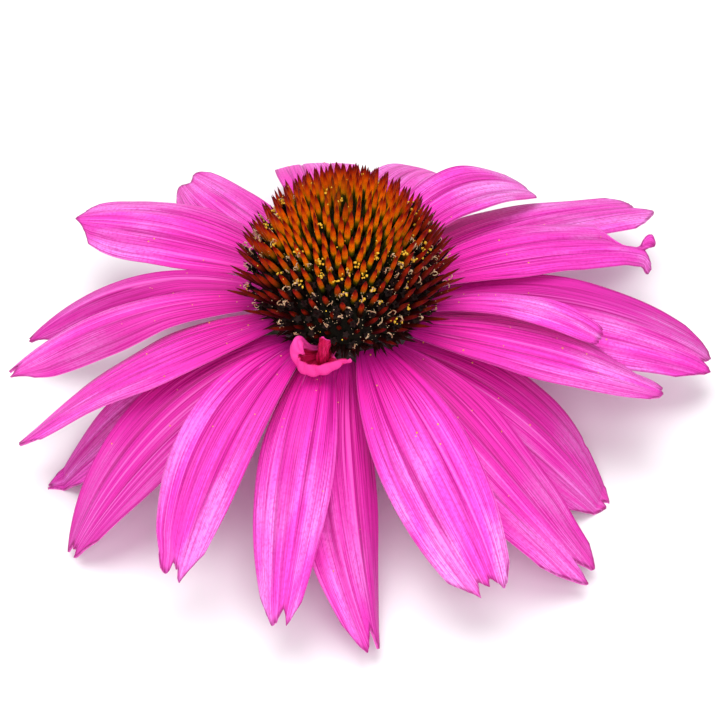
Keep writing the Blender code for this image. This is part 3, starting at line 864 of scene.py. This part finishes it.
def dome_point(share):
    """Radius and height on the core's dome, from the rim at 0 to the apex at 1."""
    turn = np.clip(share, 0, 1) * pi / 2
    radius = CORE_RADIUS * np.cos(turn) ** (2.0 / DOME_POWER)
    height = CORE_FOOT + (CORE_APEX - CORE_FOOT) * np.sin(turn) ** (2.0 / DOME_POWER)
    return radius, height


def dome_frame(share, bearing):
    """A place on the dome, and the way that what grows there points."""
    radius, height = dome_point(share)
    elevation = radians(PALEA_LOW_ELEVATION
                        + (90 - PALEA_LOW_ELEVATION) * min(share, 1.0) ** ELEVATION_POWER)
    return around(radius, bearing, height), around(cos(elevation), bearing, sin(elevation))


def spiral_places():
    """Share of the way up the dome and bearing of each palea, closer together above."""
    shares = np.linspace(0, 1, 400)
    radius, height = dome_point(shares)
    slant = np.hypot(np.diff(radius), np.diff(height))
    more, low, high = CROWDING
    crowd = 1.0 + more * smooth((shares[1:] + shares[:-1]) / 2, low, high)
    room = np.concatenate([[0.0], np.cumsum(slant * (radius[1:] + radius[:-1]) * crowd)])
    for number in range(PALEA_COUNT):
        share = np.interp((number + 0.5) / PALEA_COUNT * room[-1], room, shares)
        yield float(share), number * GOLDEN_ANGLE


def behind_curled_ray(share, bearing):
    """Whether a place on the dome has little room, and so short paleae."""
    away = abs(np.degrees(bearing) % 360.0 - CURLED_BEARING)
    return share < SHORT_SHARE and away < SHORT_SECTOR


def paleae(growth, draw):
    """The stiff scales between the florets: sharp and dark low down, blunter and shorter above."""
    form = spindle(8, 14)
    for share, bearing in spiral_places():
        root, way = dome_frame(share, bearing)
        way = unit(way + draw.normal(0.0, PALEA_STRAY, 3))
        length = PALEA_LENGTH * (1 - YOUNG_SHORTER * share ** 3) * draw.uniform(0.95, 1.02)
        if behind_curled_ray(share, bearing):
            length *= SHORT_LENGTH
        lift = np.array([0.0, 0.0, draw.uniform(0.0, 0.25) * (1 - share)])
        sharp = between(share, PALEA_SHARPNESS)
        broad = between(share, PALEA_HALF_WIDTH)

        def path(up):
            reach = (up * (length + PALEA_SINK) - PALEA_SINK)[:, None]
            return root + way * reach + lift * (np.clip(reach / length, 0, 1) ** 2)

        def outline(up):
            slim = np.clip(1 - up, 0, 1) ** 0.7
            blunt = (1 - np.clip((up - 0.60) / 0.40, 0, 1) ** 2.0) ** 0.90
            return (slim * sharp + blunt * (1 - sharp)) * smooth(up, -0.2, 0.06)

        growth.body(form, path, tangent(bearing),
                    lambda up, turn: broad * outline(up) * np.abs(np.cos(turn)) ** 0.35,
                    lambda up, turn: broad * 0.85 * outline(up) * np.abs(np.sin(turn)) ** 0.35,
                    # the rise is lower on one side of the cone, which paints shade there
                    rise=share - SHADED_SIDE * max(cos(bearing - radians(SHADED_BEARING)), 0.0),
                    tone=draw.uniform())


def receptacle(growth, _):
    """The dark dome that everything on the cone grows from, and its underside."""
    way_up, way_round, faces = spindle(48, 30)
    share = np.clip((way_up - CORE_UNDERSIDE) / (1 - CORE_UNDERSIDE), 0, 1)
    radius, height = dome_point(share)
    lower = way_up < CORE_UNDERSIDE
    rim = smooth(way_up, CORE_UNDERSIDE / 2, CORE_UNDERSIDE)
    radius = np.where(lower, CONE_SEAT_RADIUS * way_up / CORE_UNDERSIDE
                      + (CORE_RADIUS - CONE_SEAT_RADIUS) * rim, radius)
    bend = smooth(way_up, CORE_UNDERSIDE / 3.0, CORE_UNDERSIDE)
    height = np.where(lower, CONE_SEAT + (CORE_FOOT - CONE_SEAT) * bend, height)
    growth.add(around(radius * CORE_INSET, way_round, height), faces, height=share * 0.3,
               tone=0.5)


def floret_buds(growth, draw):
    """Closed green florets, low between the upper paleae."""
    form = spindle(7, 8)

    def outline(up):
        return np.clip(1.15 - up ** 3, 0, 1) * smooth(up, -0.2, 0.1)

    for share, bearing in spiral_places():
        if share < OPEN_FLORET_SHARE:
            continue
        root, way = dome_frame(share + 0.03 * (1.2 - share), bearing)
        length = BUD_LENGTH * draw.uniform(0.85, 1.1)
        growth.body(form, straight(root, way, length + BUD_SINK, BUD_SINK), tangent(bearing),
                    lambda up, turn: 0.27 * outline(up), lambda up, turn: 0.25 * outline(up),
                    tone=draw.uniform())


def fringe(growth, draw):
    """Withered dark florets and scales that hang over the claws of the rays."""
    form = spindle(7, 9)
    for number in range(FRINGE_COUNT):
        bearing = number * GOLDEN_ANGLE
        elevation = radians(draw.uniform(-10.0, 32.0))
        low = number % 3 == 0
        out = draw.uniform(*FRINGE_LOW_RADII) if low else FRINGE_RADIUS
        height = draw.uniform(*(FRINGE_LOW_HEIGHTS if low else FRINGE_HEIGHTS))
        root = around(out, bearing, height)
        way = around(cos(elevation), bearing, sin(elevation))
        way = unit(way + draw.normal(0.0, 0.24, 3) * (1.0, 1.0, 0.5))
        length = draw.uniform(*FRINGE_LENGTHS)
        wide = draw.uniform(*FRINGE_HALF_WIDTHS)

        def outline(up, turn):
            return wide * np.clip(1 - up ** 1.5, 0, 1) * smooth(up, -0.2, 0.15)

        growth.body(form, straight(root, way, length), tangent(bearing), outline,
                    lambda up, turn: 0.6 * outline(up, turn), tone=draw.uniform())


def open_florets(growth, draw):
    """Dark five-lobed tubes between the lower paleae, with black anthers standing out."""
    form = spindle(15, 12)
    slim = spindle(6, 7)

    def anther(up, turn):
        return 0.15 * smooth(up, -0.2, 0.1) * (1.02 - up ** 6)

    for share, bearing in spiral_places():
        if share >= OPEN_FLORET_SHARE:
            continue
        root, way = dome_frame(share + 0.04, bearing)
        way = unit(way + draw.normal(0.0, 0.09, 3))
        length = FLORET_LENGTH * draw.uniform(0.75, 1.2)
        size = draw.uniform(0.65, 0.85)

        def path(up):
            # up the outside to the mouth, then down inside to a pit
            reach = np.where(up < FLORET_MOUTH, up / FLORET_MOUTH,
                             1 - (up - FLORET_MOUTH) / 0.3 * 0.45)
            return root + way * (reach * (length + 0.5) - 0.5)[:, None]

        def radius(up, turn):
            lobes = 1.0 + 0.42 * np.cos(5.0 * turn) * np.exp(-((up - FLORET_MOUTH) / 0.07) ** 2)
            return between(up, FLORET_OUTLINE) * lobes * size

        growth.body(form, path, tangent(bearing), radius, tone=draw.uniform())
        if draw.uniform() < 0.8:
            tall = length + draw.uniform(0.7, 1.5)
            growth.body(slim, straight(root, way, tall), tangent(bearing), anther,
                        tone=draw.uniform())


def styles(growth, draw):
    """Pale styles that split in two and curl back out of the open florets."""
    form = spindle(6, 14)
    for share, bearing in spiral_places():
        if share > OPEN_FLORET_SHARE + 0.04 or draw.uniform() < 0.35:
            continue
        root, way = dome_frame(share + 0.05, bearing)
        start = root + way * draw.uniform(2.1, 3.0)
        thick = draw.uniform(0.045, 0.070)
        for hand in (1.0, -1.0):
            lean = unit(np.cross(way, draw.normal(0, 1, 3))) * hand
            twist = np.cross(way, lean) * draw.uniform(-0.30, 0.30)
            loop = draw.uniform(0.12, 0.28)
            turnings = draw.uniform(1.0, 1.9) * pi
            stalk = draw.uniform(0.2, 0.7)

            def path(up):
                angle = np.clip(up - 0.2, 0, 1) / 0.8 * turnings
                stem = np.minimum(up, 0.2) / 0.2 * stalk
                return (start + way * (stem + loop * np.sin(angle))[:, None]
                        + lean * (loop * (1 - np.cos(angle)))[:, None]
                        + twist * (angle / pi)[:, None])

            growth.body(form, path, np.cross(way, lean),
                        lambda up, turn: thick * smooth(up, -0.3, 0.05) * (1.1 - 0.6 * up),
                        tone=draw.uniform())
        for _ in range(draw.integers(4, 11)):
            speck = start + draw.normal(0.0, 0.55, 3)
            slim = draw.uniform(0.022, 0.058)
            heading = unit(draw.normal(0, 1, 3))
            growth.body(form, straight(speck, heading, 2.4 * slim),
                        np.cross(heading, (0.3, 0.5, 0.8)),
                        lambda up, turn: slim * np.sin(np.clip(up, 0.02, 0.98) * pi), tone=0.0)


def pollen(growth, draw, blades):
    """Yellow anthers and clumps of grains on the florets, and loose grains on the rays."""
    way_up, way_round, faces = spindle(6, 5)
    ball = around(np.sin(way_up * pi), way_round, np.cos((1 - way_up) * pi))

    def grain(middle, size):
        stretch = draw.uniform(0.7, 1.3, 3) * size
        growth.add(middle + ball * stretch, faces, height=draw.uniform(), tone=draw.uniform())

    for share, bearing in spiral_places():
        fresh = POLLEN_RING[0] < share < POLLEN_RING[1]
        old = share < POLLEN_RING[0]
        chance = FRESH_CHANCE if fresh else OLD_CHANCE if old else YOUNG_CHANCE
        if draw.uniform() > chance or behind_curled_ray(share, bearing):
            continue
        root, way = dome_frame(share + 0.05, bearing)
        top = root + way * (2.9 if fresh else 2.6)
        for _ in range(draw.integers(5, 10) if fresh else draw.integers(2, 6)):
            grain(top + draw.normal(0.0, 0.24, 3), draw.uniform(0.07, 0.17))
    for share, bearing in spiral_places():
        if draw.uniform() < 0.16:
            root, way = dome_frame(share, bearing)
            reach = way * PALEA_LENGTH * draw.uniform(0.5, 0.85)
            grain(root + reach + tangent(bearing) * draw.choice((-0.4, 0.4)),
                  draw.uniform(0.05, 0.09))
    for blade in blades:
        for _ in range(LOOSE_GRAINS):
            share = np.array([draw.beta(1.1, 2.6)])
            across = np.array([draw.uniform(-0.85, 0.85)])
            points, up, _ = blade.points(share, across)
            grain(points[0] + up[0] * BLADE_THICKNESS * 0.5, draw.uniform(0.05, 0.10))


# ---- green base

def head_base(growth):
    """The base that carries the cone and the rays, and the stub of the ribbed stalk."""
    outline = [(0.0, BASE_TOP), (BASE_RADIUS, BASE_TOP), (BASE_RADIUS, BASE_FOOT), (6.4, -5.4),
               (3.6, -6.6), (STALK_RADIUS, STALK_TOP),
               (STALK_RADIUS, STALK_TOP - STUB_LENGTH), (0.0, STALK_TOP - STUB_LENGTH)]
    along = np.cumsum([0.0] + [np.hypot(b[0] - a[0], b[1] - a[1])
                               for a, b in zip(outline, outline[1:])])
    along = along / along[-1]
    way_up, way_round, faces = spindle(72, 60)
    radius, height = (np.interp(1 - way_up, along, values) for values in zip(*outline))
    ribbed = smooth(-height, 6.6, 7.6) * (radius > 1.0)
    radius = radius * (1 + STALK_RIB_HEIGHT * np.cos(STALK_RIBS * way_round) * ribbed)
    # the top of the base, under the rays, gets painted shade
    growth.add(around(radius, way_round, height), faces, height=0.15, tone=0.4,
               collar=smooth(height, -3.7, -2.6))


def bract_points(share, across, bearing, length, height, droop):
    """Points along and across a bract's face, which tapers and droops to its tip."""
    whole = length + BRACT_ROOT_SINK
    half = BRACT_WIDTH / 2 * (1 - 0.96 * share ** 1.6)
    fall = np.radians(droop * (0.4 + 0.6 * share))
    out = BASE_RADIUS - BRACT_ROOT_SINK + whole * share * np.cos(fall)
    side = across * half
    x = out * cos(bearing) - side * sin(bearing)
    y = out * sin(bearing) + side * cos(bearing)
    z = height - whole * share * np.sin(fall) - 0.25 * across ** 2
    return np.stack([x, y, z], axis=-1)


def bracts(growth, draw):
    """Three rows of pointed green bracts with a keel and hairy margins, round the base."""
    way_up, way_round, faces = spindle(12, 16)
    flank = np.cos(way_round)
    face = np.sin(way_round)
    hair = spindle(4, 4)
    head_base(growth)
    for count, length, shift, height, droop in BRACT_ROWS:
        for number in range(count):
            bearing = (number + shift) * 2 * pi / count
            reach = length * draw.uniform(0.93, 1.0)
            points = bract_points(way_up, flank, bearing, reach, height, droop)
            thick = 0.30 * (1 - 0.5 * way_up) * (1 - np.abs(flank) ** 3 * 0.7)
            points[:, 2] += face * thick + 0.10 * (1 - np.abs(flank)) * (1 - way_up)
            growth.add(points, faces, height=way_up, tone=draw.uniform(), collar=0.0)
            for step in np.linspace(0.35, 0.95, 9):
                for hand in (-1.0, 1.0):
                    base = bract_points(step, hand * 0.95, bearing, reach, height, droop)
                    way = unit(tangent(bearing) * hand + around(1.0, bearing, -0.3) * 0.8
                               + draw.normal(0.0, 0.2, 3))
                    growth.body(hair, straight(base, way, draw.uniform(0.30, 0.5)),
                                (0, 0, 1), lambda up, turn: 0.035 * (1.05 - up),
                                tone=0.2, collar=0.0)


# ---- setting

def floor():
    """The pale table that the bloom lies on."""
    bpy.ops.mesh.primitive_plane_add(size=4.0)
    made = bpy.context.object
    made.name = "floor"
    made.data.materials.append(floor_finish())


def lights():
    """A wide window above and a softer one in front, in a softly lit room."""
    for name, place, size, power in LIGHTS:
        data = bpy.data.lights.new(name, "AREA")
        data.shape = "DISK"
        data.size = size
        data.energy = power
        made = link(name, data)
        made.location = place
        aim = Vector(LIGHTS_AIM) - Vector(place)
        made.rotation_euler = aim.to_track_quat("-Z", "Y").to_euler()
    world = bpy.data.worlds.new("soft room")
    world.use_nodes = True
    sky = world.node_tree.nodes["Background"]
    sky.inputs["Color"].default_value = (1.0, 1.0, 1.0, 1.0)
    sky.inputs["Strength"].default_value = ROOM_LIGHT
    bpy.context.scene.world = world


def camera():
    """A level view from the front and above, with the ring a little off its middle."""
    data = bpy.data.cameras.new("camera")
    data.sensor_width = SENSOR
    data.lens = CAMERA_DISTANCE * PIXELS_PER_MM / PIXELS * SENSOR
    data.shift_x = (PIXELS / 2 - RING_PIXEL[0]) / PIXELS
    data.shift_y = (RING_PIXEL[1] - PIXELS / 2) / PIXELS
    data.clip_start = 0.01
    made = link("camera", data)
    elevation = radians(CAMERA_ELEVATION)
    ring = Vector(in_frame((0.0, 0.0, 0.0)))
    away = Vector((0.0, -cos(elevation), sin(elevation)))
    made.location = ring + away * CAMERA_DISTANCE * MM
    made.rotation_euler = (pi / 2 - elevation, 0.0, 0.0)
    bpy.context.scene.camera = made


def bloom():
    """All the pieces, each with its finish."""
    pink = ray_finish("ray_pink", deep=(0.72, 0.003, 0.28), middle=(0.88, 0.026, 0.48),
                      pale=(0.95, 0.110, 0.74), sheen=(0.98, 0.35, 0.93),
                      shade=(0.30, 0.001, 0.13), under_side=(0.88, 0.16, 0.62))
    rose = ray_finish("curled_ray_pink", deep=(0.42, 0.001, 0.030), middle=(0.58, 0.003, 0.075),
                      pale=(0.62, 0.004, 0.09), sheen=(0.74, 0.02, 0.17),
                      shade=(0.20, 0.001, 0.012), under_side=(0.86, 0.052, 0.36))
    blades = [ray_piece(ray, pink) for ray in RAYS]
    curled_ray_piece(rose)
    grow("paleae", paleae, palea_finish())
    grow("receptacle", receptacle,
         growth_finish("receptacle", (0.004, 0.003, 0.002), (0.014, 0.012, 0.004), 1.5, 0.1, 0.8))
    grow("floret_buds", floret_buds,
         growth_finish("floret_bud", (0.008, 0.009, 0.002), (0.07, 0.066, 0.006), 2.0, 0.05, 0.5))
    grow("open_florets", open_florets,
         growth_finish("open_floret", (0.003, 0.001, 0.001), (0.016, 0.003, 0.002), 2.5, 0.05, 0.6))
    grow("dark_fringe", fringe,
         growth_finish("dark_fringe", (0.004, 0.001, 0.001), (0.050, 0.003, 0.003), 2.0, 0.06, 0.55))
    grow("floret_styles", styles,
         growth_finish("floret_style", (0.26, 0.07, 0.03), (0.84, 0.66, 0.40), 3.0, 0.02, 0.5))
    grow("pollen", pollen,
         growth_finish("pollen", (0.60, 0.28, 0.015), (0.90, 0.62, 0.06), 5.0, 0.02, 0.8), blades)
    grow("bracts_and_stub", bracts, bract_finish(), node="stalk_with_bracts", slot="bract_green")


bloom()
floor()
lights()
camera()
bpy.context.scene.view_settings.view_transform = "Standard"
